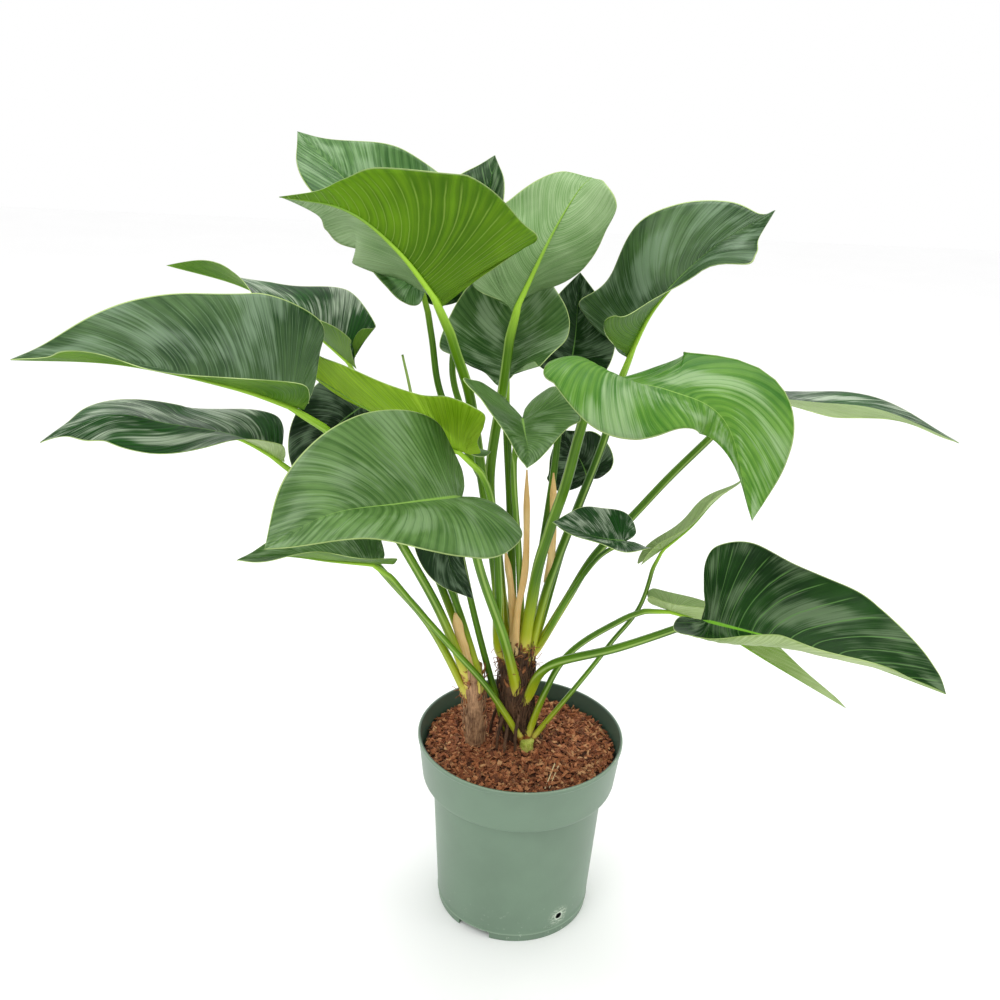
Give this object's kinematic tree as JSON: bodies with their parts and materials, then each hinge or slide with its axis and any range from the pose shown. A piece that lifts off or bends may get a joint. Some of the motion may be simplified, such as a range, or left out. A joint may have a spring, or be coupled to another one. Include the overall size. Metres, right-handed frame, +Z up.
{
  "type": "potted green beauty philodendron",
  "caption": "Potted philodendron with broad glossy heart-shaped leaves on long stalks, three short stems in bark soil, in a sage green plastic pot with a wide collar.",
  "frame": {"origin": "middle of the pot's flat base disc, where it rests", "axes": "+Z up, -Y towards the front of the plant as pictured, +X to its right"},
  "size_m": [0.9522, 0.5753, 0.8774],
  "materials": {
    "pot": "satin sage green moulded plastic",
    "soil": "coarse bark and coir chips",
    "brown_bark": "ringed brown bark with leaf scars",
    "dark_fibre": "near black fibrous stem and aerial roots",
    "pale_crown": "smooth whitish green young stem",
    "leaf": "glossy green leaf, paler below, with a pale margin",
    "young_leaf": "smooth pale green rolled leaf",
    "dry_sheath": "dry papery tan sheath"
  },
  "bodies": {
    "root": {"pot": "pot", "soil": "soil", "stem_left": "brown_bark", "stem_middle": "dark_fibre", "stem_front": "pale_crown", "leaf_01": "leaf", "leaf_02": "leaf", "leaf_03": "leaf", "leaf_04": "leaf", "leaf_05": "leaf", "leaf_06": "leaf", "leaf_07": "leaf", "leaf_08": "leaf", "leaf_09": "leaf", "leaf_10": "leaf", "leaf_11": "leaf", "leaf_12": "leaf", "leaf_13": "leaf", "leaf_14": "leaf", "leaf_15": "leaf", "leaf_16": "leaf", "leaf_17": "leaf", "leaf_18": "leaf", "leaf_19": "leaf", "leaf_20": "leaf", "leaf_21": "leaf", "leaf_22": "leaf", "leaf_23": "leaf", "young_leaf": "young_leaf", "sheath_1": "dry_sheath", "sheath_2": "dry_sheath", "sheath_3": "dry_sheath", "sheath_4": "dry_sheath"}
  },
  "joints": []
}
